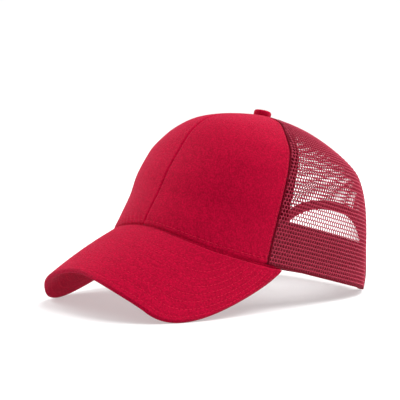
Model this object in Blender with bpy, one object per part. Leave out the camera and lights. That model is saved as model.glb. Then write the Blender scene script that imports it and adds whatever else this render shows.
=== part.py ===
"""A ponytail baseball cap with a cloth front, a net back and a curved peak.

Lengths are in metres and angles in degrees. The cap is modelled in its own frame: the rim lies in
the plane z = 0, the peak points along -Y and the wearer's left is +X. An angle on the crown is
measured from the front, towards the wearer's left. The whole cap then leans back, so that it rests
on the back corners of its rim and on the two low sides of its peak.
"""

import math

import bmesh
import bpy
import numpy as np

# Crown
CROWN_HEIGHT = 0.1155
HALF_WIDTH = 0.0800
FRONT_REACH = 0.0980
BACK_REACH = 0.0993
FRONT_ARCH = 0.0109
ARCH_SHARPNESS = 4.7

# Level sections of the crown, from the rim to the apex: shares of its height and reaches, and how
# square the front and back halves of each section are, where 2 is an ellipse
SECTION_COLUMNS = ("height", "front", "side", "back", "front_square", "back_square")
SECTIONS = (
    (0.00, 1.000, 1.000, 1.000, 2.30, 3.50),
    (0.12, 0.963, 0.980, 1.020, 2.29, 3.29),
    (0.26, 0.913, 0.969, 1.010, 2.27, 3.07),
    (0.42, 0.868, 0.957, 0.985, 2.35, 2.86),
    (0.58, 0.797, 0.927, 0.950, 2.35, 2.65),
    (0.73, 0.718, 0.872, 0.864, 2.02, 2.44),
    (0.86, 0.578, 0.692, 0.636, 1.84, 2.22),
    (0.95, 0.316, 0.431, 0.331, 1.80, 2.00),
    (1.00, 0.000, 0.000, 0.000, 1.80, 2.00),
)

# Seams between the panels
FRONT_SEAM_ANGLE = 67.5
BACK_SEAM_ANGLE = 137.0
PANEL_TIP_RADIUS = 0.0045

# Cloth and tape
CLOTH_THICKNESS = 0.0016
NET_THICKNESS = 0.0010
TAPE_THICKNESS = 0.0010
TAPE_WIDTH = 0.017
TAPE_TIP_RADIUS = 0.0190
PIECE_GAP = 0.0003

# Sweatband and strap
BAND_HEIGHT = 0.034
BAND_THICKNESS = 0.0018
STRAP_HEIGHT = 0.020
STRAP_LIFT = 0.004
STRAP_THICKNESS = 0.0015
STRAP_END_GAP = 0.0008

# Arched opening at the back
OPENING_HALF_WIDTH = 0.052
OPENING_HEIGHT = 0.060
OPENING_SQUARENESS = 2.5
BINDING_WIDTH = 0.0065

# Peak
PEAK_CORNER_ANGLE = 73.5
PEAK_REACH = 0.0540
PEAK_HALF_WIDTH = 0.0802
PEAK_SQUARENESS = 2.68
PEAK_SLOPE = 0.628
PEAK_CURL = 0.0097
PEAK_BEND_RADIUS = 0.0663
PEAK_BENT_SHARE = 0.87
PEAK_FAN = 0.25
PEAK_THICKNESS = 0.0036
PEAK_CORNER_DROP = 0.0007
PEAK_CORNER_SHARPNESS = 18

# The peak's rounded edge: distances from its end as shares of half the thickness, and how full it is
PEAK_EDGE_COLUMNS = ("from_end", "fullness")
PEAK_EDGE = (
    (0.55, 0.88),
    (0.15, 0.50),
    (0.00, 0.25),
)

# Button
BUTTON_RADIUS = 0.0068
BUTTON_HEIGHT = 0.0050
BUTTON_STEM_RADIUS = 0.0022
BUTTON_STEM_LENGTH = 0.0045
BUTTON_ROUNDNESS = 0.6

# Rows and columns of points on each piece. Pieces that lie close together have like numbers
PANEL_ROWS = 20
TWILL_COLUMNS = 13
NET_COLUMNS = 12
BACK_TIP_COLUMNS = 6
BACK_REACH_COLUMNS = 9
BINDING_COLUMNS = 41
SEAM_TAPE_ROWS = 18
SEAM_TAPE_COLUMNS = 5
BAND_ROWS = 4
BAND_COLUMNS = 65
STRAP_COLUMNS = 24
PEAK_ROWS = 8
PEAK_COLUMNS = 49
BUTTON_STEPS = 24
BUTTON_TURNS = (0, 18, 36, 54, 72)

# Colour, roughness and metallic value of each material
MATERIALS = {
    "twill": ((0.55, 0.008, 0.035, 1.0), 0.85, 0.0),
    "net": ((0.30, 0.010, 0.035, 1.0), 0.70, 0.0),
    "tape": ((0.20, 0.004, 0.018, 1.0), 0.80, 0.0),
    "band_cloth": ((0.24, 0.005, 0.022, 1.0), 0.85, 0.0),
    "strap_weave": ((0.26, 0.006, 0.024, 1.0), 0.75, 0.0),
}


def smooth_column(values, row):
    """A column of a table, read between its rows along a curve that never overshoots."""
    values = np.asarray(values, float)
    steps = np.diff(values)
    before, after = steps[:-1], steps[1:]
    same_way = before * after > 0
    total = np.where(same_way, before + after, 1.0)
    slopes = np.empty(len(values))
    slopes[1:-1] = np.where(same_way, 2 * before * after / total, 0.0)
    slopes[0] = 1.5 * steps[0] - 0.5 * steps[1]
    slopes[-1] = 1.5 * steps[-1] - 0.5 * steps[-2]
    row = np.asarray(row, float)
    whole = np.clip(np.floor(row), 0, len(steps) - 1).astype(int)
    part = row - whole
    rise = steps[whole]
    start, end = slopes[whole], slopes[whole + 1]
    bow = part * (1 - part)
    return values[whole] + rise * part + bow * ((start - rise) * (1 - part) - (end - rise) * part)


def superellipse(sideways, forward, squareness):
    """How far the edge of a unit superellipse lies in a direction."""
    return (np.abs(sideways)**squareness + np.abs(forward)**squareness)**(-1 / squareness)


TABLE = dict(zip(SECTION_COLUMNS, zip(*SECTIONS)))
SQUARE_COLUMNS = ("front_square", "back_square")
LAST_ROW = len(SECTIONS) - 1


def rim_height(angle):
    """The rim's own height above its plane: it rises over the forehead."""
    forward = np.clip(np.cos(np.radians(angle)), 0.0, 1.0)
    return FRONT_ARCH * forward**ARCH_SHARPNESS


def crown(angle, row):
    """A point on the crown's outer face."""
    turn = np.radians(np.asarray(angle, float))
    sideways, forward = np.sin(turn), np.cos(turn)
    half_square = np.where(forward > 0, *(smooth_column(TABLE[name], row) for name in SQUARE_COLUMNS))
    spread = superellipse(sideways, forward, half_square)
    side = HALF_WIDTH * smooth_column(TABLE["side"], row)
    front = FRONT_REACH * smooth_column(TABLE["front"], row)
    back = BACK_REACH * smooth_column(TABLE["back"], row)
    height = smooth_column(TABLE["height"], row)
    x = side * sideways * spread
    y = -np.where(forward > 0, front, back) * forward * spread
    z = CROWN_HEIGHT * height + rim_height(angle) * (1 - height)
    return np.stack(np.broadcast_arrays(x, y, z), axis=-1)


def below(surface, first, second, depth):
    """A point at a depth below a surface that is a function of two places on it."""
    step = 1e-4
    along_first = surface(first + step, second) - surface(first - step, second)
    along_second = surface(first, second + step) - surface(first, second - step)
    normal = np.cross(along_first, along_second)
    normal /= np.linalg.norm(normal, axis=-1, keepdims=True)
    return surface(first, second) - np.asarray(depth)[..., None] * normal


def crown_radius(angle, row):
    point = crown(angle, row)
    return np.hypot(point[..., 0], point[..., 1])


def span_angle(angle, row, length):
    """The angle that a length along the crown's wall spans."""
    return np.degrees(length / crown_radius(angle, row))


def row_at_height(height):
    rows = np.linspace(0, LAST_ROW, 400)
    return np.interp(height, CROWN_HEIGHT * smooth_column(TABLE["height"], rows), rows)


def row_at_radius(radius):
    """The row near the apex whose widest radius this is."""
    rows = np.linspace(LAST_ROW - 1, LAST_ROW, 200)
    angles = np.linspace(0, 180, 37)[:, None]
    widest = crown_radius(angles, rows).max(axis=0)
    return np.interp(-radius, -widest, rows)


def even_rows(first, last, count):
    """Rows spaced evenly along the wall of the crown's side."""
    rows = np.linspace(first, last, 200)
    steps = np.linalg.norm(np.diff(crown(90.0, rows), axis=0), axis=-1)
    length = np.append(0, np.cumsum(steps))
    return np.interp(np.linspace(0, length[-1], count), length, rows)


def back_place(x, height):
    """The angle and row of the point of the crown's back that is this far sideways and this high."""
    row = row_at_height(height)
    squareness = smooth_column(TABLE["back_square"], row)
    across = x / (HALF_WIDTH * smooth_column(TABLE["side"], row))
    backward = (1 - np.abs(across)**squareness)**(1 / squareness)
    return np.degrees(np.arctan2(backward, across)) + 90, row


def material(name):
    colour, roughness, metallic = MATERIALS[name]
    made = bpy.data.materials.new(name)
    made.use_nodes = True
    surface = made.node_tree.nodes["Principled BSDF"]
    surface.inputs["Base Color"].default_value = colour
    surface.inputs["Roughness"].default_value = roughness
    surface.inputs["Metallic"].default_value = metallic
    return made


def finish(name, mesh, look):
    """Turns a bmesh into a named object with smooth faces and sharp edges."""
    bmesh.ops.recalc_face_normals(mesh, faces=mesh.faces)
    data = bpy.data.meshes.new(name)
    mesh.to_mesh(data)
    mesh.free()
    data.materials.append(look)
    data.shade_smooth()
    data.set_sharp_from_angle(angle=math.radians(50))
    made = bpy.data.objects.new(name, data)
    bpy.context.scene.collection.objects.link(made)
    return made


def wall(name, outer, inner, look):
    """One closed body between two grids of points that have the same rows and columns."""
    rows, columns = outer.shape[:2]
    mesh = bmesh.new()
    skins = [[[mesh.verts.new(point) for point in line] for line in grid] for grid in (outer, inner)]
    for skin in skins:
        for row in range(rows - 1):
            for column in range(columns - 1):
                low, high = skin[row], skin[row + 1]
                mesh.faces.new((low[column], low[column + 1], high[column + 1], high[column]))
    border = [(0, column) for column in range(columns)]
    border += [(row, columns - 1) for row in range(1, rows)]
    border += [(rows - 1, column) for column in range(columns - 2, -1, -1)]
    border += [(row, 0) for row in range(rows - 2, 0, -1)]
    for (row, column), (next_row, next_column) in zip(border, border[1:] + border[:1]):
        mesh.faces.new((
            skins[0][row][column],
            skins[0][next_row][next_column],
            skins[1][next_row][next_column],
            skins[1][row][column],
        ))
    return finish(name, mesh, look)


def crown_wall(name, first, last, rows, depth, thickness, columns, look):
    """A wall of the crown between two angles, which may change from row to row."""
    share = np.linspace(0, 1, columns)
    rows = np.asarray(rows, float)[:, None]
    angles = first + (last - first) * share
    outer = below(crown, angles, rows, np.full(angles.shape, depth))
    inner = below(crown, angles, rows, np.full(angles.shape, depth + thickness))
    return wall(name, outer, inner, look)


def panel_rows():
    """The rows at which every panel's seam edges have their points."""
    return even_rows(0, row_at_radius(PANEL_TIP_RADIUS), PANEL_ROWS)


def panel(name, first_seam, last_seam, thickness, columns, look):
    """A crown panel that runs from the rim to the apex between two seams."""
    rows = panel_rows()
    side = math.copysign(PIECE_GAP / 2, last_seam - first_seam)
    upward = rows[:, None]
    first = first_seam + span_angle(first_seam, upward, side)
    last = last_seam - span_angle(last_seam, upward, side)
    return crown_wall(name, first, last, rows, 0.0, thickness, columns, look)


def opening_edge(share):
    """The angle and row of a point on the arched opening's edge, from its left foot to its right."""
    turn = np.pi * share
    sideways, upward = np.cos(turn), np.sin(turn)
    spread = superellipse(sideways, upward, OPENING_SQUARENESS)
    x = OPENING_HALF_WIDTH * sideways * spread
    return back_place(x, OPENING_HEIGHT * upward * spread)


def back_outline(share):
    """The angle and row of a point on the back panel's seams, from the left foot over the top."""
    rows = panel_rows()
    climb = len(rows) - 1
    place = share * back_columns()
    row = np.interp(np.minimum(place, back_columns() - place), np.arange(climb + 1), rows)
    across = np.clip((place - climb) / BACK_TIP_COLUMNS, 0, 1)
    edge = BACK_SEAM_ANGLE + span_angle(BACK_SEAM_ANGLE, row, PIECE_GAP / 2)
    return edge + (360 - 2 * edge) * across, row


def back_columns():
    return 2 * (len(panel_rows()) - 1) + BACK_TIP_COLUMNS


def back_place_between(share, reach):
    """An angle and row on the back: share runs along the opening's edge, reach from it to the seams."""
    edge_angle, edge_row = opening_edge(share)
    seam_angle, seam_row = back_outline(share)
    return edge_angle + (seam_angle - edge_angle) * reach, edge_row + (seam_row - edge_row) * reach


def back_below(share, reach, depth):
    """A point under the back of the crown, at a place between the opening's edge and the seams."""
    return below(crown, *back_place_between(share, reach), depth)


def back_panel(look):
    share = np.linspace(0, 1, back_columns() + 1)[:, None]
    reach = np.linspace(0, 1, BACK_REACH_COLUMNS)[None, :] * np.ones_like(share)
    outer = back_below(share, reach, np.zeros(reach.shape))
    inner = back_below(share, reach, np.full(reach.shape, NET_THICKNESS))
    return wall("back_panel", outer, inner, look)


def opening_binding(look):
    """A tape folded over the opening's edge, with one leg on each face of the net."""
    share = np.linspace(0, 1, BINDING_COLUMNS)
    step = 0.01
    start, end = (crown(*back_place_between(share, reach)) for reach in (0.0, step))
    pace = np.linalg.norm(end - start, axis=-1) / step
    near, far = PIECE_GAP, PIECE_GAP + TAPE_THICKNESS
    places = [BINDING_WIDTH, BINDING_WIDTH / 2]
    skins = []
    for clear in (far, near):
        reach = [*places, -clear, -clear, *places[::-1]]
        depth = [-clear] * 3 + [NET_THICKNESS + clear] * 3
        lines = [back_below(share, at / pace, np.full(share.shape, deep)) for at, deep in zip(reach, depth)]
        skins.append(np.stack(lines, axis=1))
    return wall("opening_binding", *skins, look)


def seam_tape(name, seam, look):
    """A tape along the inner side of a seam, from the sweatband up to near the apex."""
    foot, tip = row_at_height(BAND_HEIGHT + PIECE_GAP), row_at_radius(TAPE_TIP_RADIUS)
    rows = even_rows(foot, tip, SEAM_TAPE_ROWS)
    half = span_angle(seam, rows[:, None], TAPE_WIDTH / 2)
    depth = CLOTH_THICKNESS + PIECE_GAP
    first, last = seam - half, seam + half
    return crown_wall(name, first, last, rows, depth, TAPE_THICKNESS, SEAM_TAPE_COLUMNS, look)


def band_end_angle():
    """Where the sweatband stops, just short of the binding's inner leg."""
    foot, _ = back_place(OPENING_HALF_WIDTH + BINDING_WIDTH + PIECE_GAP, 0.0)
    return foot


def sweatband(look):
    end = band_end_angle()
    rows = np.linspace(0, row_at_height(BAND_HEIGHT), BAND_ROWS)
    first = np.full((len(rows), 1), -end)
    depth = CLOTH_THICKNESS + PIECE_GAP
    return crown_wall("sweatband", first, -first, rows, depth, BAND_THICKNESS, BAND_COLUMNS, look)


def closure_strap(look):
    """The strap across the foot of the opening, between the two ends of the sweatband."""
    rows = row_at_height(np.array([STRAP_LIFT, STRAP_LIFT + STRAP_HEIGHT]))
    gap = span_angle(band_end_angle(), 0.0, STRAP_END_GAP)
    first = np.full((len(rows), 1), band_end_angle() + gap)
    last = 360 - first
    depth = NET_THICKNESS + TAPE_THICKNESS + 2 * PIECE_GAP
    return crown_wall("closure_strap", first, last, rows, depth, STRAP_THICKNESS, STRAP_COLUMNS, look)


def peak_sheet(x, y):
    """The height of the peak's top: it slopes and curls down ahead, and bends down to both sides.

    The bend is an arc that runs on straight, and it grows from the rim to the outer edge.
    """
    bent = np.minimum(np.abs(x), PEAK_BENT_SHARE * PEAK_BEND_RADIUS)
    level = np.sqrt(PEAK_BEND_RADIUS**2 - bent**2)
    drop = PEAK_BEND_RADIUS - level + bent / level * (np.abs(x) - bent)
    ahead = -(y + FRONT_REACH) / PEAK_REACH
    slope = PEAK_SLOPE * PEAK_REACH * ahead + PEAK_CURL * ahead**2
    return FRONT_ARCH - slope - drop * (1 + PEAK_FAN * ahead)


def peak_edges(share):
    """The ends of the peak's line at a share from -1 to 1: on the rim, and on its outer edge."""
    angle = PEAK_CORNER_ANGLE * share
    inner = crown(angle, np.zeros_like(angle))
    corner_y = crown(PEAK_CORNER_ANGLE, 0.0)[1]
    turn = 0.5 * np.pi * share
    sideways, forward = np.sin(turn), np.cos(turn)
    spread = superellipse(sideways, forward, PEAK_SQUARENESS)
    x = PEAK_HALF_WIDTH * sideways * spread
    y = corner_y - (PEAK_REACH + FRONT_REACH + corner_y) * forward * spread
    return inner, np.stack([x, y], axis=-1)


def peak(outward, share):
    """A point on the peak's top: outward runs from 0 at the rim to 1 at the outer edge."""
    inner, outer = peak_edges(share)
    x = inner[..., 0] + (outer[..., 0] - inner[..., 0]) * outward
    y = inner[..., 1] + (outer[..., 1] - inner[..., 1]) * outward
    seat = inner[..., 2] - PIECE_GAP - peak_sheet(inner[..., 0], inner[..., 1])
    tuck = inner[..., 2] - PEAK_CORNER_DROP - peak_sheet(outer[..., 0], outer[..., 1])
    corner = np.abs(share)**PEAK_CORNER_SHARPNESS
    inward = 1 - outward
    z = peak_sheet(x, y) + seat * (inward**2 * (1 - corner) + inward * corner) + tuck * outward * corner
    return np.stack([x, y, z], axis=-1)


def peak_brim(look):
    """The peak: one stiff sheet with a rounded outer edge."""
    half = PEAK_THICKNESS / 2
    share = np.linspace(-1, 1, PEAK_COLUMNS)[None, :]
    length = np.linalg.norm(peak(1.0, share) - peak(0.0, share), axis=-1)
    round_share = half / length
    edge = dict(zip(PEAK_EDGE_COLUMNS, np.transpose(PEAK_EDGE)[..., None]))
    flat = np.linspace(0, 1, PEAK_ROWS)[:, None] * (1 - round_share)
    outward = np.vstack([flat, 1 - round_share * edge["from_end"]])
    fullness = np.vstack([np.ones((PEAK_ROWS, 1)), edge["fullness"]]) * np.ones_like(share)
    share = share * np.ones_like(outward)
    top = below(peak, outward, share, half * (1 - fullness))
    bottom = below(peak, outward, share, half * (1 + fullness))
    return wall("peak", top, bottom, look)


def button(look):
    """A covered button with a stem through the hole where the panels meet."""
    def seat(radius):
        rows = row_at_radius(radius)
        return CROWN_HEIGHT * smooth_column(TABLE["height"], rows) + PIECE_GAP

    low = seat(BUTTON_RADIUS)
    profile = [
        (0.0, CROWN_HEIGHT - BUTTON_STEM_LENGTH),
        (BUTTON_STEM_RADIUS, CROWN_HEIGHT - BUTTON_STEM_LENGTH),
        (BUTTON_STEM_RADIUS, seat(BUTTON_STEM_RADIUS)),
        (PANEL_TIP_RADIUS, seat(PANEL_TIP_RADIUS)),
    ]
    for turn in np.radians(BUTTON_TURNS):
        radius = BUTTON_RADIUS * math.cos(turn)**BUTTON_ROUNDNESS
        profile.append((radius, low + BUTTON_HEIGHT * math.sin(turn)))
    profile.append((0.0, low + BUTTON_HEIGHT))
    mesh = bmesh.new()
    points = [mesh.verts.new((radius, 0, height)) for radius, height in profile]
    edges = [mesh.edges.new(pair) for pair in zip(points, points[1:])]
    bmesh.ops.spin(
        mesh,
        geom=points + edges,
        cent=(0, 0, 0),
        axis=(0, 0, 1),
        angle=2 * math.pi,
        steps=BUTTON_STEPS,
        use_merge=True,
    )
    bmesh.ops.remove_doubles(mesh, verts=mesh.verts, dist=1e-6)
    return finish("button", mesh, look)


def resting_tilt(points):
    """The lean at which the lowest point ahead of the crown's axis is level with that behind it."""
    ahead = points[:, 1] < 0
    low, high = 0.0, math.radians(60)
    for _ in range(40):
        tilt = (low + high) / 2
        heights = points[:, 2] * math.cos(tilt) - points[:, 1] * math.sin(tilt)
        if heights[ahead].min() < heights[~ahead].min():
            low = tilt
        else:
            high = tilt
    return (low + high) / 2


def lay_down(pieces):
    """Leans the cap back on an empty and stands it on z = 0, centred on the Z axis."""
    points = np.array([corner.co for piece in pieces for corner in piece.data.vertices])
    tilt = resting_tilt(points)
    leaning = np.stack([
        points[:, 0],
        points[:, 1] * math.cos(tilt) + points[:, 2] * math.sin(tilt),
        points[:, 2] * math.cos(tilt) - points[:, 1] * math.sin(tilt),
    ], axis=-1)
    low, high = leaning.min(axis=0), leaning.max(axis=0)
    middle = (low + high) / 2
    frame = bpy.data.objects.new("cap_frame", None)
    bpy.context.scene.collection.objects.link(frame)
    frame.rotation_euler = (-tilt, 0, 0)
    frame.location = (-middle[0], -middle[1], -low[2])
    for piece in pieces:
        piece.parent = frame


def main():
    for old in list(bpy.data.objects):
        bpy.data.objects.remove(old, do_unlink=True)
    looks = {name: material(name) for name in MATERIALS}
    pieces = []
    for side, sign in (("left", 1), ("right", -1)):
        front_seam, back_seam = sign * FRONT_SEAM_ANGLE, sign * BACK_SEAM_ANGLE
        pieces += [
            panel("front_panel_" + side, 0.0, front_seam, CLOTH_THICKNESS, TWILL_COLUMNS, looks["twill"]),
            panel("side_panel_" + side, front_seam, back_seam, NET_THICKNESS, NET_COLUMNS, looks["net"]),
            seam_tape("front_seam_tape_" + side, front_seam, looks["tape"]),
            seam_tape("back_seam_tape_" + side, back_seam, looks["tape"]),
        ]
    pieces += [
        back_panel(looks["net"]),
        opening_binding(looks["tape"]),
        sweatband(looks["band_cloth"]),
        closure_strap(looks["strap_weave"]),
        peak_brim(looks["twill"]),
        button(looks["twill"]),
    ]
    lay_down(pieces)


main()
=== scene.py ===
"""Dresses the ponytail baseball cap: twill front and peak, knitted net, tapes, sweatband and strap.

Each piece starts as a primitive in flat cloth coordinates and is then laid on the crown or on the
peak. Lengths are in metres and angles in degrees. In the cap's own frame the rim is level, the peak
points along -Y and the wearer's left is +X; stand() then leans the cap back, as it rests.
"""

import math

import bpy
import numpy as np
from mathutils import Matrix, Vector


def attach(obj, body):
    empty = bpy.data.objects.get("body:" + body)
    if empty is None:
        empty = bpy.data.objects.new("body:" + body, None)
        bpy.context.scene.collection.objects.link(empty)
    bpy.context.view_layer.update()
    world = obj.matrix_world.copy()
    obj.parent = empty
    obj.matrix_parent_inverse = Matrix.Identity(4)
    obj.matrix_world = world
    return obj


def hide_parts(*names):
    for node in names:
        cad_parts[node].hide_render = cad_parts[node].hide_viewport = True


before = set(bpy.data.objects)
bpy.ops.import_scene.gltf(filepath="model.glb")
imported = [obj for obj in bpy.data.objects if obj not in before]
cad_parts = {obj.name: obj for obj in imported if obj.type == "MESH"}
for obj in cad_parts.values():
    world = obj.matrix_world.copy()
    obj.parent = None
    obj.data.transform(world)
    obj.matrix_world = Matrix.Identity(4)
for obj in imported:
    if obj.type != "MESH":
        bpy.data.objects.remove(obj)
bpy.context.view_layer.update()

bl_info = {
    "name": "Ponytail Cap",
    "version": (1, 0, 0),
    "blender": (4, 5, 0),
    "location": "View3D > Sidebar > Cap",
    "description": "Builds a ponytail baseball cap in twill and knitted net",
    "category": "Add Mesh",
}

# How the cap stands: its lean and where its rim's middle is
LEAN = math.radians(15.0909155)
RIM_MIDDLE = (0.0, 0.02240982, 0.02466987)

# Crown, as the solids have it
CROWN_HEIGHT = 0.1155
HALF_WIDTH = 0.0800
FRONT_REACH = 0.0980
BACK_REACH = 0.0993
FRONT_ARCH = 0.0109
ARCH_SHARPNESS = 4.7
SECTION_COLUMNS = ("height", "front", "side", "back", "front_square", "back_square")
SECTIONS = (
    (0.00, 1.000, 1.000, 1.000, 2.30, 3.50),
    (0.12, 0.963, 0.980, 1.020, 2.29, 3.29),
    (0.26, 0.913, 0.969, 1.010, 2.27, 3.07),
    (0.42, 0.868, 0.957, 0.985, 2.35, 2.86),
    (0.58, 0.797, 0.927, 0.950, 2.35, 2.65),
    (0.73, 0.718, 0.872, 0.864, 2.02, 2.44),
    (0.86, 0.578, 0.692, 0.636, 1.84, 2.22),
    (0.95, 0.316, 0.431, 0.331, 1.80, 2.00),
    (1.00, 0.000, 0.000, 0.000, 1.80, 2.00),
)
TABLE = dict(zip(SECTION_COLUMNS, zip(*SECTIONS)))
TOP_ROW = len(SECTIONS) - 1

# Seams, tapes and bands
FRONT_SEAM = 67.5
BACK_SEAM = 137.0
TIP_RADIUS = 0.0045
FOLD_TIP_RADIUS = 0.0085
SEAM_GAP = 0.0003
SEAM_OVERLAP = 0.00005
TWILL_THICKNESS = 0.0012
NET_THICKNESS = 0.0010
HEM_THICKNESS = 0.0013
HEM_DEPTH = -0.0001
HEM_INSET = 0.3
FOLD_DEPTH = 0.0001
EDGE_ROUNDING = 0.35
LINING_DEPTH = 0.0019
TAPE_WIDTH = 0.017
TAPE_TIP_RADIUS = 0.0190
TAPE_THICKNESS = 0.0010
BAND_HEIGHT = 0.034
BAND_THICKNESS = 0.0018
BAND_ROUNDING = 0.0007
BAND_REACH = 0.9
STRAP_FOOT, STRAP_TOP = 0.004, 0.024
STRAP_DEPTH = 0.0026
STRAP_THICKNESS = 0.0015
STRAP_END_GAP = 0.0008

# Stitches: how far a row runs from the edge that it follows, where rows start and stop, and how deep
# the thread's middle lies
RIM_STITCHES = 0.0038
SIDE_STITCHES = 0.0022
LINING_STITCHES = 0.0062
NET_STITCHES = 0.0058
BINDING_STITCHES = 0.0050
BAND_STITCHES = (0.0035, 0.0305)
STRAP_STITCHES = 0.0018
FRONT_STITCH_ENDS = (1.5, 1.2)
SIDE_STITCH_FOOT, SIDE_STITCH_TIP = 0.25, 0.012
BAND_STITCH_END = 1
STRAP_STITCH_END = 0.8
BINDING_STITCH_ENDS = (0.004, 0.996)
PEAK_STITCH_ENDS = (-0.995, 0.995)
PEAK_STITCH_ROOM = 0.0022
STITCH_BLUNTNESS = 0.6
TWILL_STITCH_DEPTH = 0.00022
NET_STITCH_DEPTH = 0.0001
PEAK_STITCH_DEPTH = 0.00016

# Front panels: how the grid's lines crowd towards the edges
EDGE_CROWDING, RIM_CROWDING = 0.35, 1.15

# Dips of the front panels' cloth: the edge each follows, its depth, its distance and its breadth
PANEL_DIPS = (
    ("seam", 0.0010, 0.0, 0.0010),
    ("side", 0.0009, 0.0, 0.0009),
    ("rim", 0.0018, 0.0, 0.0010),
    ("rim", 0.00034, RIM_STITCHES, 0.0007),
    ("side", 0.00018, SIDE_STITCHES, 0.0007),
)
PANEL_DEPTH = 0.00026
PUCKER_DEPTH = 0.00032
PUCKER_PERIOD = 0.0052
PUCKER_SLANT = 0.6
PUCKER_DISTANCE = 0.0042
PUCKER_BREADTH = 0.0034

SIDES = (("left", 1), ("right", -1))

# How far past a piece its flat cloth is measured, in degrees
CLOTH_MARGIN = 4
NET_MARGIN = 6

# Net: the smallest cell that gets a slot, as a share of the usual one, and the cords' fullness
SMALLEST_CELL = 0.45
CORD_FULLNESS = 0.62

# Arched opening
OPENING_HALF_WIDTH = 0.052
OPENING_HEIGHT = 0.060
OPENING_SQUARENESS = 2.5
BINDING_WIDTH = 0.0065
BINDING_LIP = 0.0003
ARCH_LENGTH = 0.165
ARCH_STEPS = 60

# Peak
PEAK_CORNER = 73.5
PEAK_REACH = 0.0540
PEAK_HALF_WIDTH = 0.0802
PEAK_SQUARENESS = 2.68
PEAK_SLOPE = 0.628
PEAK_CURL = 0.0097
PEAK_BEND_RADIUS = 0.0663
PEAK_BENT_SHARE = 0.87
PEAK_FAN = 0.25
PEAK_THICKNESS = 0.0036
PEAK_CORNER_DROP = 0.0007
PEAK_CORNER_SHARPNESS = 18
PEAK_INNER_END = 0.012
PEAK_TONGUE = ((-0.020, -0.95), (-0.032, -0.5), (-0.035, 0.0), (-0.032, 0.5), (-0.020, 0.95))
PEAK_FOLD_LINE = 128
PEAK_FOLD_BREADTH = 12
PEAK_FOLD_DEPTH = 0.00030
STITCH_DIP, STITCH_DIP_BREADTH = 0.00016, 0.0011
RIM_DIP, RIM_DIP_BREADTH = 0.0024, 0.0012
PEAK_GIRTH = 0.125
PEAK_CROWDING = 1.25
PEAK_EDGE_ROOM = 0.45
PEAK_THINNING = 0.012
PEAK_DIP_LENGTH = 0.004

# Button
BUTTON_RADIUS = 0.0068
BUTTON_HEIGHT = 0.0050
BUTTON_SEAT = 0.0012
BUTTON_COVER = 0.0002
BUTTON_PLEATS = 14
PLEAT_DEPTH = 0.012
PLEAT_TOP = 0.3
BUTTON_SIDE_BLUNTNESS, BUTTON_TOP_BLUNTNESS = 0.45, 0.72

# Camera, fitted to the photograph: angles in degrees, and where it looks in the cap's resting frame
CAMERA = {
    "azimuth": 47.047, "elevation": 6.618, "roll": 0.726, "distance": 1.352888, "focal_pixels": 1764.21,
    "aim_ahead": 0.0195, "aim_right": -0.0232358, "aim_height": 0.0721285,
}
PICTURE_PIXELS = 400
SENSOR_WIDTH = 36

# Studio: lengths in metres, turns in degrees, and the light's fall between two heights of the sky
FLOOR_RADIUS = 400
FAR_CLIP = 1000
PAPER_GREY = 0.52
HORIZON, SKY = 0.08, 0.16
KEY_TURN = (-12, 16, 0)
KEY_SPREAD = 50
SOFTBOXES = (("left_box", (-1.0, -0.35, 0.65)), ("right_box", (0.30, 1.0, 0.65)))
SOFTBOX_AIM = (0, 0, 0.07)
SOFTBOX_SIZE = 0.9


# The crown's surface

def smooth_column(values, row):
    """A column of the table, read between its rows along a curve that never overshoots."""
    values = np.asarray(values, float)
    steps = np.diff(values)
    before, after = steps[:-1], steps[1:]
    same_way = before * after > 0
    slopes = np.empty(len(values))
    slopes[1:-1] = np.where(same_way, 2 * before * after / np.where(same_way, before + after, 1), 0)
    slopes[0] = 1.5 * steps[0] - 0.5 * steps[1]
    slopes[-1] = 1.5 * steps[-1] - 0.5 * steps[-2]
    row = np.asarray(row, float)
    whole = np.clip(np.floor(row), 0, len(steps) - 1).astype(int)
    part = row - whole
    rise = steps[whole]
    bow = (slopes[whole] - rise) * (1 - part) - (slopes[whole + 1] - rise) * part
    return values[whole] + rise * part + part * (1 - part) * bow


def superellipse(sideways, forward, squareness):
    return (np.abs(sideways)**squareness + np.abs(forward)**squareness)**(-1 / squareness)


def crown(angle, row):
    """A point on the crown's outer face, in the cap's own frame."""
    turn = np.radians(np.asarray(angle, float))
    sideways, forward = np.sin(turn), np.cos(turn)
    ahead = forward > 0
    squares = (smooth_column(TABLE[name], row) for name in ("front_square", "back_square"))
    spread = superellipse(sideways, forward, np.where(ahead, *squares))
    front = FRONT_REACH * smooth_column(TABLE["front"], row)
    back = BACK_REACH * smooth_column(TABLE["back"], row)
    height = smooth_column(TABLE["height"], row)
    x = HALF_WIDTH * smooth_column(TABLE["side"], row) * sideways * spread
    y = -np.where(ahead, front, back) * forward * spread
    arch = FRONT_ARCH * np.clip(forward, 0, 1)**ARCH_SHARPNESS
    z = CROWN_HEIGHT * height + arch * (1 - height)
    return np.stack(np.broadcast_arrays(x, y, z), axis=-1)


def below(surface, first, second, depth):
    """A point at a depth below a surface."""
    step = 1e-4
    along_first = surface(first + step, second) - surface(first - step, second)
    along_second = surface(first, second + step) - surface(first, second - step)
    normal = np.cross(along_first, along_second)
    normal /= np.maximum(np.linalg.norm(normal, axis=-1, keepdims=True), 1e-12)
    return surface(first, second) - np.asarray(depth)[..., None] * normal


def stand(points):
    """Points of the cap's own frame, as the cap rests."""
    x, y, z = np.moveaxis(np.asarray(points, float), -1, 0)
    cos, sin = math.cos(LEAN), math.sin(LEAN)
    leaning = np.stack([x, y * cos + z * sin, z * cos - y * sin], axis=-1)
    return leaning + np.array(RIM_MIDDLE)


def on_crown(angle, row, depth):
    return stand(below(crown, angle, row, depth))


def sewn(angle, row, depth):
    """A line on the crown at one depth."""
    return on_crown(angle, row, np.full(np.shape(angle), depth))


def span(angle, row, length):
    """The angle that a length along the crown's wall spans."""
    point = crown(angle, row)
    return np.degrees(length / np.hypot(point[..., 0], point[..., 1]))


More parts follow.
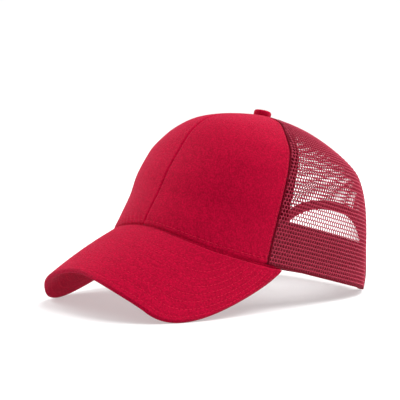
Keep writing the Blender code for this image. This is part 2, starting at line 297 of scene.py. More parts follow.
def row_at_height(height):
    rows = np.linspace(0, TOP_ROW, 400)
    return np.interp(height, CROWN_HEIGHT * smooth_column(TABLE["height"], rows), rows)


def row_at_radius(radius):
    rows = np.linspace(TOP_ROW - 1, TOP_ROW, 200)
    places = crown(np.linspace(0, 180, 37)[:, None], rows)
    widest = np.hypot(places[..., 0], places[..., 1]).max(axis=0)
    return np.interp(-radius, -widest, rows)


def even_rows(first, last, share):
    """Rows at these shares of the way up the wall of the crown's side."""
    rows = np.linspace(first, last, 200)
    steps = np.linalg.norm(np.diff(crown(90.0, rows), axis=0), axis=-1)
    length = np.append(0, np.cumsum(steps))
    return np.interp(np.asarray(share) * length[-1], length, rows)


def back_place(x, height):
    """The angle and row of the point of the crown's back this far sideways and this high."""
    row = row_at_height(height)
    squareness = smooth_column(TABLE["back_square"], row)
    across = x / (HALF_WIDTH * smooth_column(TABLE["side"], row))
    backward = (1 - np.abs(across)**squareness)**(1 / squareness)
    return np.degrees(np.arctan2(backward, across)) + 90, row


def opening_edge(share):
    """The angle and row of a point on the arched opening's edge, from its left foot to its right."""
    sideways, upward = np.cos(np.pi * share), np.sin(np.pi * share)
    spread = superellipse(sideways, upward, OPENING_SQUARENESS)
    return back_place(OPENING_HALF_WIDTH * sideways * spread, OPENING_HEIGHT * upward * spread)


def band_end():
    foot, _ = back_place(OPENING_HALF_WIDTH + BINDING_WIDTH + SEAM_GAP, 0.0)
    return foot


# The peak's surface

def peak_sheet(x, y):
    """The height of the peak's top: it slopes and curls down ahead, and bends down to both sides."""
    bent = np.minimum(np.abs(x), PEAK_BENT_SHARE * PEAK_BEND_RADIUS)
    level = np.sqrt(PEAK_BEND_RADIUS**2 - bent**2)
    drop = PEAK_BEND_RADIUS - level + bent / level * (np.abs(x) - bent)
    ahead = -(y + FRONT_REACH) / PEAK_REACH
    slope = PEAK_SLOPE * PEAK_REACH * ahead + PEAK_CURL * ahead**2
    return FRONT_ARCH - slope - drop * (1 + PEAK_FAN * ahead)


def peak_edges(share):
    """The ends of the peak's line at a share from -1 to 1: on the rim and on its outer edge."""
    angle = PEAK_CORNER * share
    inner = crown(angle, np.zeros_like(angle))
    corner_y = crown(PEAK_CORNER, 0.0)[1]
    sideways, forward = np.sin(0.5 * np.pi * share), np.cos(0.5 * np.pi * share)
    spread = superellipse(sideways, forward, PEAK_SQUARENESS)
    x = PEAK_HALF_WIDTH * sideways * spread
    y = corner_y - (PEAK_REACH + FRONT_REACH + corner_y) * forward * spread
    return inner, np.stack([x, y], axis=-1)


def peak(outward, share):
    """A point on the peak's top: outward runs from 0 at the rim to 1 at the outer edge."""
    inner, outer = peak_edges(share)
    x = inner[..., 0] + (outer[..., 0] - inner[..., 0]) * outward
    y = inner[..., 1] + (outer[..., 1] - inner[..., 1]) * outward
    seat = inner[..., 2] - SEAM_GAP - peak_sheet(inner[..., 0], inner[..., 1])
    tuck = inner[..., 2] - PEAK_CORNER_DROP - peak_sheet(outer[..., 0], outer[..., 1])
    corner = np.abs(share)**PEAK_CORNER_SHARPNESS
    inward = 1 - outward
    z = peak_sheet(x, y) + seat * (inward**2 * (1 - corner) + inward * corner) + tuck * outward * corner
    return np.stack([x, y, z], axis=-1)


def peak_length(share):
    """How far it is from the rim to the outer edge along the peak's top."""
    return np.linalg.norm(peak(1.0, share) - peak(0.0, share), axis=-1)


# Flat cloth: how far a point of the crown is up its panel's middle line, and sideways from it

class FlatCloth:
    """A panel laid flat: sideways from its middle line, and up that line from the rim."""
    lines, columns, middle = 180, 241, 120
    tries = 12

    def __init__(self, middle_angle, reach):
        self.rows = np.linspace(0, TOP_ROW - 0.02, self.lines)
        self.angles = middle_angle + np.linspace(-reach, reach, self.columns)
        points = crown(self.angles[None, :], self.rows[:, None])
        climb = np.linalg.norm(np.diff(points[:, self.middle], axis=0), axis=-1)
        self.up = np.append(0, np.cumsum(climb))
        level = np.linalg.norm(np.diff(points, axis=1), axis=-1)
        across = np.concatenate([np.zeros((self.lines, 1)), np.cumsum(level, axis=1)], axis=1)
        self.across = across - across[:, self.middle:self.middle + 1]

    def read(self, line, column):
        """The sideways length at a fractional line and column of the table."""
        line = np.clip(line, 0, self.lines - 1.001)
        column = np.clip(column, 0, self.columns - 1.001)
        i, j = line.astype(int), column.astype(int)
        f, g = line - i, column - j
        low = self.across[i, j] * (1 - g) + self.across[i, j + 1] * g
        high = self.across[i + 1, j] * (1 - g) + self.across[i + 1, j + 1] * g
        return low * (1 - f) + high * f

    def flat(self, angle, row):
        """Where a point of the crown lies on the flat cloth."""
        line = np.interp(row, self.rows, np.arange(self.lines))
        column = np.interp(angle, self.angles, np.arange(self.columns))
        line, column = np.broadcast_arrays(line, column)
        return np.stack([self.read(line, column), np.interp(line, np.arange(self.lines), self.up)], axis=-1)

    def place(self, sideways, up):
        """The angle and row of a point of the flat cloth."""
        line = np.interp(up, self.up, np.arange(self.lines))
        column = np.full(np.shape(line), float(self.middle))
        for _ in range(self.tries):
            pace = np.maximum(self.read(line, column + 0.5) - self.read(line, column - 0.5), 1e-6)
            column = np.clip(column + (sideways - self.read(line, column)) / pace, 1, self.columns - 2)
        angle = np.interp(column, np.arange(self.columns), self.angles)
        return angle, np.interp(line, np.arange(self.lines), self.rows)


def inside(points, outline):
    """Which points lie inside a closed outline."""
    start, end = outline, np.roll(outline, -1, axis=0)
    x, y = points[:, 0:1], points[:, 1:2]
    crosses = (start[:, 1] > y) != (end[:, 1] > y)
    rise = np.where(np.abs(end[:, 1] - start[:, 1]) < 1e-12, 1e-12, end[:, 1] - start[:, 1])
    at = start[:, 0] + (y - start[:, 1]) * (end[:, 0] - start[:, 0]) / rise
    return (crosses & (x < at)).sum(axis=1) % 2 == 1


def nearest(points, outline):
    """The nearest point of a closed outline to each point."""
    start, run = outline, np.roll(outline, -1, axis=0) - outline
    share = ((points[:, None] - start) * run).sum(-1) / np.maximum((run**2).sum(-1), 1e-15)
    spots = start + np.clip(share, 0, 1)[..., None] * run
    best = ((spots - points[:, None])**2).sum(-1).argmin(axis=1)
    return spots[np.arange(len(points)), best]


# Tools of the workshop

def coords(piece):
    flat = np.empty(len(piece.data.vertices) * 3, np.float32)
    piece.data.vertices.foreach_get("co", flat)
    return flat.reshape(-1, 3).astype(float)


def set_coords(piece, points):
    piece.data.vertices.foreach_set("co", np.asarray(points, np.float32).ravel())
    piece.data.update()


def set_weave(piece, flat):
    """Keeps the flat cloth's millimetres as the piece's UV map, for the weave to follow."""
    layer = piece.data.uv_layers.get("weave") or piece.data.uv_layers.new(name="weave")
    corners = np.empty(len(piece.data.loops), np.int32)
    piece.data.loops.foreach_get("vertex_index", corners)
    layer.data.foreach_set("uv", (1000 * flat[corners]).astype(np.float32).ravel())


def only(piece):
    bpy.ops.object.select_all(action="DESELECT")
    piece.select_set(True)
    bpy.context.view_layer.objects.active = piece


def modify(piece, kind, **values):
    """Adds a modifier and applies it."""
    only(piece)
    modifier = piece.modifiers.new(kind.title(), kind)
    for name, value in values.items():
        setattr(modifier, name, value)
    bpy.ops.object.modifier_apply(modifier=modifier.name)


def edit(piece, *steps):
    """Runs edit-mode steps on all of a piece."""
    only(piece)
    bpy.ops.object.mode_set(mode="EDIT")
    bpy.ops.mesh.select_all(action="SELECT")
    for step in steps:
        step()
    bpy.ops.object.mode_set(mode="OBJECT")


def new_grid(name, columns, rows):
    """A flat grid from (0, 0) to (1, 1)."""
    bpy.ops.object.select_all(action="DESELECT")
    bpy.ops.mesh.primitive_grid_add(x_subdivisions=columns, y_subdivisions=rows, size=1, calc_uvs=False)
    piece = bpy.context.active_object
    piece.name = piece.data.name = name
    set_coords(piece, coords(piece) + np.array([0.5, 0.5, 0.0]))
    return piece


def close_up(piece, distance):
    """Merges what meets and points the faces outwards."""
    edit(
        piece,
        lambda: bpy.ops.mesh.remove_doubles(threshold=distance),
        lambda: bpy.ops.mesh.normals_make_consistent(inside=False),
    )


def thicken(piece, thickness, rounding, segments):
    """Gives a sheet its thickness, downwards, and rounds its edges."""
    modify(piece, "SOLIDIFY", thickness=thickness, offset=-1, use_even_offset=True)
    corner = math.radians(60)
    modify(piece, "BEVEL", width=rounding, segments=segments, limit_method="ANGLE", angle_limit=corner)


def pick(piece, kind, chosen):
    """Leaves the piece in edit mode with just these of its edges or faces selected."""
    only(piece)
    bpy.ops.object.mode_set(mode="EDIT")
    bpy.ops.mesh.select_mode(type=kind)
    bpy.ops.mesh.select_all(action="DESELECT")
    bpy.ops.object.mode_set(mode="OBJECT")
    parts = piece.data.edges if kind == "EDGE" else piece.data.polygons
    parts.foreach_set("select", chosen)
    bpy.ops.object.mode_set(mode="EDIT")


def edge_ends(piece):
    """The two vertices of each edge."""
    pairs = np.empty(len(piece.data.edges) * 2, np.int32)
    piece.data.edges.foreach_get("vertices", pairs)
    return pairs.reshape(-1, 2)


def open_points(piece):
    """The vertices on the piece's open edges."""
    only(piece)
    bpy.ops.object.mode_set(mode="EDIT")
    bpy.ops.mesh.select_mode(type="EDGE")
    bpy.ops.mesh.select_all(action="DESELECT")
    bpy.ops.mesh.select_non_manifold(
        use_wire=False, use_boundary=True, use_multi_face=False, use_non_contiguous=False, use_verts=False
    )
    bpy.ops.mesh.select_mode(type="VERT")
    bpy.ops.object.mode_set(mode="OBJECT")
    picked = np.empty(len(piece.data.vertices), bool)
    piece.data.vertices.foreach_get("select", picked)
    return np.flatnonzero(picked)


def hand_in(piece, cloth, slot, *nodes, angle=50):
    """Smooths a finished piece, gives it its cloth and sets it in the cap."""
    only(piece)
    bpy.ops.object.shade_smooth_by_angle(angle=math.radians(angle))
    piece.data.materials.clear()
    piece.data.materials.append(look(cloth))
    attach(piece, "root")
    if nodes:
        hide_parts(*nodes)


def stitch_run(name, path, settings):
    """One row of stitches along a line of points."""
    steps = np.linalg.norm(np.diff(path, axis=0), axis=-1)
    pitch = settings.stitch_length + settings.stitch_space
    count = max(int(steps.sum() / pitch), 1)
    curve = bpy.data.curves.new(name + "_line", "CURVE")
    curve.dimensions = "3D"
    line = curve.splines.new("POLY")
    line.points.add(len(path) - 1)
    line.points.foreach_set("co", np.column_stack([path, np.ones(len(path))]).ravel())
    guide = bpy.data.objects.new(name + "_line", curve)
    bpy.context.scene.collection.objects.link(guide)
    bpy.ops.object.select_all(action="DESELECT")
    bpy.ops.mesh.primitive_uv_sphere_add(
        segments=6, ring_count=5, radius=0.5, rotation=(0, math.pi / 2, 0)
    )
    piece = bpy.context.active_object
    piece.name = piece.data.name = name
    bpy.ops.object.transform_apply(location=False, rotation=True, scale=False)
    size = np.array([settings.stitch_length, settings.stitch_width, settings.stitch_width])
    points = coords(piece)
    points[:, 0] = np.sign(points[:, 0]) * np.abs(2 * points[:, 0])**STITCH_BLUNTNESS / 2
    set_coords(piece, points * size + np.array([pitch / 2, 0, 0]))
    modify(
        piece,
        "ARRAY",
        count=count,
        use_relative_offset=False,
        use_constant_offset=True,
        constant_offset_displace=(pitch, 0, 0),
    )
    modify(piece, "CURVE", object=guide, deform_axis="POS_X")
    bpy.data.objects.remove(guide)
    bpy.data.curves.remove(curve)
    return piece


def stitching(name, paths, cloth, slot):
    """Rows of stitches, joined into one piece."""
    settings = bpy.context.scene.cap_stitches
    runs = [stitch_run(f"{name}_{number}", path, settings) for number, path in enumerate(paths)]
    bpy.ops.object.select_all(action="DESELECT")
    for run in runs:
        run.select_set(True)
    bpy.context.view_layer.objects.active = runs[0]
    bpy.ops.object.join()
    piece = runs[0]
    piece.name = piece.data.name = name
    hand_in(piece, cloth, slot)


# Cloths

def new_material(name, colour, roughness, sheen, sheen_tint):
    made = bpy.data.materials.new(name)
    made.use_nodes = True
    surface = made.node_tree.nodes["Principled BSDF"]
    surface.inputs["Base Color"].default_value = (*colour, 1)
    surface.inputs["Roughness"].default_value = roughness
    surface.inputs["Sheen Weight"].default_value = sheen
    surface.inputs["Sheen Roughness"].default_value = 0.30
    surface.inputs["Sheen Tint"].default_value = (*sheen_tint, 1)
    surface.inputs["Specular IOR Level"].default_value = 0.04
    return made


def node(material, kind, **values):
    made = material.node_tree.nodes.new(kind)
    for name, value in values.items():
        setattr(made, name, value)
    return made


def link(material, output, socket):
    material.node_tree.links.new(output, socket)


def paint(material, output):
    link(material, output, material.node_tree.nodes["Principled BSDF"].inputs["Base Color"])


def ribs(material, turn, pitch):
    """Parallel ribs on the flat cloth, at a turn from its level lines and a pitch in metres."""
    cloth = node(material, "ShaderNodeUVMap", uv_map="weave")
    mapping = node(material, "ShaderNodeMapping")
    mapping.inputs["Rotation"].default_value = (0, 0, math.radians(turn))
    wave = node(material, "ShaderNodeTexWave", wave_profile="SIN")
    wave.inputs["Scale"].default_value = 2 * math.pi / 20 / (1000 * pitch)
    wave.inputs["Distortion"].default_value = 0.6
    wave.inputs["Detail"].default_value = 1
    wave.inputs["Detail Scale"].default_value = 2
    link(material, cloth.outputs[0], mapping.inputs["Vector"])
    link(material, mapping.outputs[0], wave.inputs["Vector"])
    return wave.outputs["Fac"]


def mottling(material, size, detail=3):
    """Soft patches of this size, on the piece's own coordinates."""
    place = node(material, "ShaderNodeTexCoord")
    noise = node(material, "ShaderNodeTexNoise")
    noise.inputs["Scale"].default_value = 1 / size
    noise.inputs["Detail"].default_value = detail
    link(material, place.outputs["Object"], noise.inputs["Vector"])
    return noise.outputs["Fac"]


def blend(material, kind, share, first, second):
    mix = node(material, "ShaderNodeMix", data_type="RGBA", blend_type=kind)
    mix.inputs["Factor"].default_value = share
    link(material, first, mix.inputs["A"])
    link(material, second, mix.inputs["B"])
    return mix.outputs["Result"]


def tint(material, factor, colour, dark, light, start=0.25, end=0.75):
    """The colour, from dark to light times itself as the factor goes from start to end."""
    ramp = node(material, "ShaderNodeValToRGB")
    stops = zip(ramp.color_ramp.elements, (start, end), (dark, light))
    for element, position, strength in stops:
        element.position = position
        element.color = (*[min(part * strength, 1) for part in colour], 1)
    link(material, factor, ramp.inputs["Fac"])
    return ramp.outputs["Color"]


def relief(material, height, distance, strength):
    bump = node(material, "ShaderNodeBump")
    bump.inputs["Distance"].default_value = distance
    bump.inputs["Strength"].default_value = strength
    link(material, height, bump.inputs["Height"])
    surface = material.node_tree.nodes["Principled BSDF"]
    link(material, bump.outputs["Normal"], surface.inputs["Normal"])


def twill_cloth(name, colour, pitch):
    """Twill: diagonal ribs crossed by fine threads, with soft patches where the nap lies."""
    made = new_material(name, colour, roughness=0.78, sheen=0.17, sheen_tint=(1.0, 0.35, 0.50))
    diagonal, threads = ribs(made, -52, pitch), ribs(made, 20, pitch * 0.55)
    weave = blend(made, "MULTIPLY", 0.55, diagonal, threads)
    grain = mottling(made, 0.0012)
    surface = blend(made, "MIX", 0.5, weave, grain)
    patches = tint(made, mottling(made, 0.006), colour, dark=0.94, light=1.05)
    worn = blend(made, "MIX", 0.75, surface, grain)
    grey = tint(made, worn, (1, 1, 1), dark=0.58, light=1.0, start=0.36, end=0.64)
    paint(made, blend(made, "MULTIPLY", 1.0, patches, grey))
    relief(made, surface, distance=0.00035, strength=0.8)
    return made


def plain_weave(name, colour, pitch, turn=0.0):
    """Tape and band cloth: ribs one way, threads the other."""
    made = new_material(name, colour, roughness=0.80, sheen=0.08, sheen_tint=(1.0, 0.4, 0.5))
    weave = blend(made, "MULTIPLY", 0.8, ribs(made, turn, pitch), ribs(made, turn + 90, pitch * 1.4))
    patchy = blend(made, "MIX", 0.3, weave, mottling(made, 0.004))
    paint(made, tint(made, patchy, colour, dark=0.72, light=1.12))
    relief(made, weave, distance=0.00025, strength=0.6)
    return made


def yarn(name, colour, size, sheen):
    """Net cords and sewing thread: a fine twist on the piece's own coordinates."""
    made = new_material(name, colour, roughness=0.62, sheen=sheen, sheen_tint=(1.0, 0.62, 0.70))
    twist = mottling(made, size, detail=2)
    paint(made, tint(made, twist, colour, dark=0.82, light=1.15))
    relief(made, twist, distance=size * 0.4, strength=0.5)
    return made


def look(name):
    """One of the cap's cloths, made the first time it is asked for."""
    made = bpy.data.materials.get(name)
    if made:
        return made
    cloth = bpy.context.scene.cap_cloth
    twill_thread = [part * 1.05 + 0.009 for part in cloth.twill_colour]
    tape_thread = [part * 1.25 for part in cloth.tape_colour]
    makers = {
        "crimson_twill": (twill_cloth, cloth.twill_colour, cloth.twill_pitch),
        # The net's colour carries a painted glow of light shining through its cords
        "net_cord": (yarn, cloth.net_colour_and_painted_glow, 0.0006, 0.40),
        "seam_tape": (plain_weave, cloth.tape_colour, 0.0007, 45),
        "band_cloth": (plain_weave, cloth.band_colour, 0.0006),
        # The binding's colour carries painted light shining through the net in front of it
        "binding_tape": (plain_weave, cloth.binding_colour_and_painted_glow, 0.0006, 45),
        "strap_webbing": (plain_weave, cloth.strap_colour, 0.0012),
        "twill_thread": (yarn, twill_thread, 0.0004, 0.2),
        "tape_thread": (yarn, tape_thread, 0.0004, 0.1),
    }
    maker, *values = makers[name]
    return maker(name, *values)


# Sizes and colours that a maker would change

def length(name, description, default):
    return bpy.props.FloatProperty(
        name=name, description=description, default=default, min=0.00005, precision=5, unit="LENGTH"
    )


def colour(name, description, default):
    return bpy.props.FloatVectorProperty(
        name=name, description=description, default=default, min=0, max=1, subtype="COLOR"
    )


def light(name, description, default, unit="NONE"):
    return bpy.props.FloatProperty(name=name, description=description, default=default, min=0, unit=unit)


class CapCloth(bpy.types.PropertyGroup):
    """Colours and weaves."""
    twill_colour: colour("Twill", "Crimson of the front and the peak", (0.54, 0.0012, 0.036))
    # The net's colour is the cords' own crimson, lightened with painted light: the glow of light shining
    # through the thin cords
    net_colour_and_painted_glow: colour("Net", "Colour of the net's cords", (0.38, 0.028, 0.060))
    tape_colour: colour("Tape", "Colour of the seam tapes and the net's folds", (0.17, 0.002, 0.014))
    band_colour: colour("Band", "Colour of the sweatband", (0.10, 0.001, 0.009))
    # The binding's colour is partly the tape's own colour and partly painted light: it is lightened for the
    # light shining through the net in front of it
    binding_colour_and_painted_glow: colour("Binding", "Colour of the tape round the arched opening", (0.46, 0.035, 0.075))
    strap_colour: colour("Strap", "Colour of the closure strap", (0.26, 0.006, 0.026))
    twill_pitch: length("Twill pitch", "Distance between the twill's ribs", 0.00055)


class CapNet(bpy.types.PropertyGroup):
    """Sizes of the knitted net."""
    slot_pitch: length("Slot pitch", "Sideways distance between slots", 0.00250)
    row_pitch: length("Row pitch", "Distance between rows of slots", 0.00285)
    thread_width: length("Thread width", "Width of the upright threads", 0.00066)
    cord_width: length("Cord width", "Width of the level cords", 0.00078)
    cord_depth: length("Cord depth", "Thickness of the cords", 0.00100)
    hem_width: length("Hem width", "Width of the plain edge along the rim", 0.0008)
    fold_width: length("Fold width", "Width of the plain edge along a seam", 0.0009)


class CapStitches(bpy.types.PropertyGroup):
    """Sizes of the stitching."""
    stitch_length: length("Stitch length", "Length of one stitch", 0.0025)
    stitch_space: length("Stitch space", "Gap between two stitches", 0.0008)
    stitch_width: length("Stitch width", "Thickness of the thread", 0.00050)
    peak_first: length("First row", "Distance of the peak's first stitched row from its edge", 0.0045)
    peak_spacing: length("Row spacing", "Distance between the peak's stitched rows", 0.0070)
    peak_rows: bpy.props.IntProperty(
        name="Peak rows", description="Stitched rows on the peak", default=8, min=0
    )


class CapStage(bpy.types.PropertyGroup):
    """The photographer's floor and lights."""
    fill: light("Fill", "Strength of the light all round", 0.27)
    key: light("Key", "Strength of the soft light above", 3.0)
    sides: light("Sides", "Power of the softboxes at the sides", 13.0, "POWER")
    glow: light("Glow", "Light that the paper floor gives off", 0.41)


# Front panels

def hump(distance, breadth):
    return np.exp(-(distance / breadth)**2)


def panel_depth(to_seam, to_side, to_rim, sideways):
    """How far the cloth dips: it turns in at its edges and puckers over the rim's stitches."""
    distances = {"seam": to_seam, "side": to_side, "rim": to_rim}
    dip = sum(depth * hump(distances[edge] - place, breadth) for edge, depth, place, breadth in PANEL_DIPS)
    pucker = np.sin(2 * np.pi * (sideways + PUCKER_SLANT * to_rim) / PUCKER_PERIOD)
    dip += PUCKER_DEPTH * pucker * hump(to_rim - PUCKER_DISTANCE, PUCKER_BREADTH)
    return dip + PANEL_DEPTH


class CAP_OT_front_panels(bpy.types.Operator):
    """Make the two twill panels over the forehead, with their topstitching"""
    bl_idname = "cap.front_panels"
    bl_label = "Front Panels"

    def execute(self, context):
        paths = []
        for side, sign in SIDES:
            cloth = FlatCloth(sign * FRONT_SEAM / 2, FRONT_SEAM / 2 + CLOTH_MARGIN)
            piece = new_grid(f"front_panel_{side}_cloth", 110, 150)
            share, climb, _ = coords(piece).T
            share = 0.5 - 0.5 * np.cos(np.pi * share) * (1 - EDGE_CROWDING * np.sin(np.pi * share)**2)
            rows = even_rows(0, row_at_radius(TIP_RADIUS), climb**RIM_CROWDING)
            first = span(0.0, rows, -SEAM_OVERLAP)
            last = FRONT_SEAM - span(FRONT_SEAM, rows, SEAM_OVERLAP)
            angle = sign * (first + (last - first) * share)
            flat = cloth.flat(angle, rows)
            to_seam = np.radians(share * (last - first)) * np.hypot(*crown(0.0, rows)[..., :2].T)
            side_reach = np.hypot(*crown(FRONT_SEAM, rows)[..., :2].T)
            to_side = np.radians((1 - share) * (last - first)) * side_reach
            depth = panel_depth(to_seam, to_side, flat[:, 1], flat[:, 0])
            set_coords(piece, on_crown(angle, rows, depth))
            set_weave(piece, flat)
            if sign < 0:
                edit(piece, bpy.ops.mesh.flip_normals)
            modify(piece, "SOLIDIFY", thickness=TWILL_THICKNESS, offset=-1, use_even_offset=True)
            hand_in(piece, "crimson_twill", "twill", f"front_panel_{side}")
            start, stop = FRONT_STITCH_ENDS
            along = np.linspace(start, FRONT_SEAM - stop, 120)
            spot = cloth.flat(sign * along, np.zeros(len(along)))
            angle, rows = cloth.place(spot[:, 0], spot[:, 1] + RIM_STITCHES)
            paths.append(sewn(angle, rows, TWILL_STITCH_DEPTH))
            rows = even_rows(SIDE_STITCH_FOOT, row_at_radius(SIDE_STITCH_TIP), np.linspace(0, 1, 160))
            angle = FRONT_SEAM - span(FRONT_SEAM, rows, SIDE_STITCHES)
            paths.append(sewn(sign * angle, rows, TWILL_STITCH_DEPTH))
        stitching("front_topstitching", paths, "twill_thread", "twill")
        return {"FINISHED"}


# Net panels

def seam_rows():
    return even_rows(0, row_at_radius(TIP_RADIUS), np.linspace(0, 1, 160))


def side_outline(cloth, sign):
    """The flat outline of a side panel, from its front foot round."""
    rows = seam_rows()
    front = sign * (FRONT_SEAM + span(FRONT_SEAM, rows, SEAM_GAP / 2))
    back = sign * (BACK_SEAM - span(BACK_SEAM, rows, SEAM_GAP / 2))
    return np.concatenate([cloth.flat(front, rows), cloth.flat(back, rows)[::-1]])


def back_outline(cloth):
    """The flat outline of the back panel, up one seam, down the other and over the arch."""
    rows = seam_rows()
    left = BACK_SEAM + span(BACK_SEAM, rows, SEAM_GAP / 2)
    arch_angle, arch_row = opening_edge(np.linspace(1, 0, 160))
    return np.concatenate([
        cloth.flat(left, rows),
        cloth.flat(360 - left, rows)[::-1],
        cloth.flat(arch_angle, arch_row),
    ])


def net_sheet(name, outline, settings):
    """A flat sheet of the net's cells, staggered like bricks and cut to its outline."""
    half_slot = settings.slot_pitch / 2
    low, high = outline.min(axis=0), outline.max(axis=0)
    columns = int((high[0] - low[0]) / half_slot) + 3
    rows = int((high[1] - low[1]) / settings.row_pitch) + 1
    piece = new_grid(name, columns, rows)
    place = coords(piece)[:, :2] * (columns, rows)
    start = np.round((low[0] + high[0]) / 2 / half_slot) - columns // 2
    flat = np.column_stack([(place[:, 0] + start) * half_slot, place[:, 1] * settings.row_pitch])
    set_coords(piece, np.column_stack([flat, np.zeros(len(flat))]))
    ends = np.rint(place).astype(int)[edge_ends(piece)]
    upright = ends[:, 0, 0] == ends[:, 1, 0]
    odd = (ends[:, 0, 0] + ends[:, :, 1].min(axis=1)) % 2 == 1
    border = (ends[:, 0, 0] == 0) | (ends[:, 0, 0] == columns)
    pick(piece, "EDGE", upright & odd & ~border)
    bpy.ops.mesh.dissolve_edges(use_verts=False)
    bpy.ops.object.mode_set(mode="OBJECT")
    centres = np.array([face.center[:2] for face in piece.data.polygons])
    pick(piece, "FACE", ~inside(centres, outline))
    bpy.ops.mesh.delete(type="FACE")
    bpy.ops.object.mode_set(mode="OBJECT")
    points = coords(piece)
    edge = open_points(piece)
    points[edge, :2] = nearest(points[edge, :2], outline)
    set_coords(piece, points)
    return piece


def open_slots(piece, settings):
    """Cuts a slot in each cell that is large enough, and raises the net's middle lines to cords."""
    squash = settings.thread_width / settings.cord_width
    set_coords(piece, coords(piece) * (1, squash, 1))
    raised = len(piece.data.vertices)
    areas = np.array([face.area for face in piece.data.polygons])
    pick(piece, "FACE", areas > SMALLEST_CELL * np.median(areas))
    bpy.ops.mesh.inset(thickness=settings.thread_width / 2, use_individual=True)
    bpy.ops.mesh.delete(type="ONLY_FACE")
    bpy.ops.object.mode_set(mode="OBJECT")
    points = coords(piece)
    pairs = np.sort(edge_ends(piece), axis=1)
    corner, inner = pairs[(pairs[:, 0] < raised) & (pairs[:, 1] >= raised)].T
    step = points[inner] - points[corner]
    length = np.maximum(np.linalg.norm(step, axis=1, keepdims=True), 1e-9)
    points[inner] = points[corner] + step * np.minimum(1, settings.thread_width / length)
    lifted = np.arange(len(points)) < raised
    lifted[open_points(piece)] = False
    points[:, 1] /= squash
    points[:, 2] = np.where(lifted, settings.cord_depth * CORD_FULLNESS, 0.0)
    set_coords(piece, points)


def net_piece(name, cloth, outline, settings):
    """A knitted net: staggered slots between level cords, laid on the crown."""
    piece = net_sheet(name, outline, settings)
    open_slots(piece, settings)
    modify(piece, "MIRROR", use_axis=(False, False, True), use_mirror_merge=True, merge_threshold=1e-5)
    modify(piece, "SUBSURF", levels=1, render_levels=1)
    points = coords(piece)
    angle, row = cloth.place(points[:, 0], points[:, 1])
    set_coords(piece, on_crown(angle, row, NET_THICKNESS / 2 - points[:, 2]))
    edit(piece, lambda: bpy.ops.mesh.normals_make_consistent(inside=False))
    return piece


def rim_hem(name, first, last, settings):
    """The net's rim, folded over."""
    rows = row_at_height(np.linspace(0.0, settings.hem_width, 4))
    hand_in(strip(name, first, last, rows, HEM_DEPTH, HEM_THICKNESS, 60, 4), "seam_tape", "tape")


def seam_fold(name, seam, toward, settings):
    """The net's edge along a seam, folded over."""
    rows = even_rows(0, row_at_radius(FOLD_TIP_RADIUS), np.linspace(0, 1, 90))
    first = seam + toward * span(seam, rows, SEAM_OVERLAP)
    last = first + toward * span(seam, rows, settings.fold_width)
    piece = strip(name, first, last, rows, FOLD_DEPTH, NET_THICKNESS, 3, 90)
    hand_in(piece, "seam_tape", "tape")


class CAP_OT_net_panels(bpy.types.Operator):
    """Make the two side panels and the back panel in knitted net"""
    bl_idname = "cap.net_panels"
    bl_label = "Net Panels"

    def execute(self, context):
        settings = context.scene.cap_net
        middle, reach = (FRONT_SEAM + BACK_SEAM) / 2, (BACK_SEAM - FRONT_SEAM) / 2
        for side, sign in SIDES:
            name, front, back = f"side_panel_{side}", sign * FRONT_SEAM, sign * BACK_SEAM
            cloth = FlatCloth(sign * middle, reach + NET_MARGIN)
            piece = net_piece(name + "_net", cloth, side_outline(cloth, sign), settings)
            hand_in(piece, "net_cord", "net", name, angle=80)
            rim_hem(name + "_hem", front + sign * HEM_INSET, back - sign * HEM_INSET, settings)
            seam_fold(name + "_front_fold", front, sign, settings)
            seam_fold(name + "_back_fold", back, -sign, settings)
            seam_fold(f"back_panel_{side}_fold", back, sign, settings)
        cloth = FlatCloth(180.0, 180 - BACK_SEAM + NET_MARGIN)
        piece = net_piece("back_panel_net", cloth, back_outline(cloth), settings)
        hand_in(piece, "net_cord", "net", "back_panel", angle=80)
        for side, sign in SIDES:
            first, last = sign * (BACK_SEAM + HEM_INSET), sign * band_end()
            rim_hem(f"back_panel_{side}_hem", first, last, settings)
        return {"FINISHED"}


# Tapes, binding, sweatband and strap

def strip(name, first, last, rows, depth, thickness, columns, lines):
    """A band of cloth on the crown between two angles, with rounded edges."""
    piece = new_grid(name, columns, lines)
    share, climb, _ = coords(piece).T
    height = np.linspace(0, 1, len(rows))
    row, start, end = (
        np.interp(climb, height, np.broadcast_to(values, np.shape(rows))) for values in (rows, first, last)
    )
    angle = start + (end - start) * share
    middle = float(np.mean(start + end)) / 2
    cloth = FlatCloth(middle, float(np.abs(end - start).max()) / 2 + CLOTH_MARGIN)
    set_coords(piece, sewn(angle, row, depth))
    set_weave(piece, cloth.flat(angle, row))
    if (end < start).all():
        edit(piece, bpy.ops.mesh.flip_normals)
    thicken(piece, thickness, thickness * EDGE_ROUNDING, 2)
    return piece


class CAP_OT_seam_tapes(bpy.types.Operator):
    """Make the four tapes behind the seams, with their stitches"""
    bl_idname = "cap.seam_tapes"
    bl_label = "Seam Tapes"

    def execute(self, context):
        paths = []
        foot, tip = row_at_height(BAND_HEIGHT + SEAM_GAP), row_at_radius(TAPE_TIP_RADIUS)
        rows = even_rows(foot, tip, np.linspace(0, 1, 120))
        outer_rows = {"front": (NET_STITCHES,), "back": (-NET_STITCHES, NET_STITCHES)}
        for place, seam in (("front", FRONT_SEAM), ("back", BACK_SEAM)):
            for side, sign in SIDES:
                half = span(seam, rows, TAPE_WIDTH / 2)
                name = f"{place}_seam_tape_{side}"
                first, last = sign * seam - half, sign * seam + half
                piece = strip(name + "_cloth", first, last, rows, LINING_DEPTH, TAPE_THICKNESS, 16, 120)
                hand_in(piece, "seam_tape", "tape", name)
                for offset in (-LINING_STITCHES, LINING_STITCHES):
                    angle = sign * seam + span(seam, rows, offset)
                    paths.append(sewn(angle, rows, LINING_DEPTH + TAPE_THICKNESS)[2:-2])
                for offset in outer_rows[place]:
                    angle = sign * (seam + span(seam, rows, offset))
                    paths.append(sewn(angle, rows, NET_STITCH_DEPTH))
        stitching("tape_stitching", paths, "tape_thread", "tape")
        return {"FINISHED"}


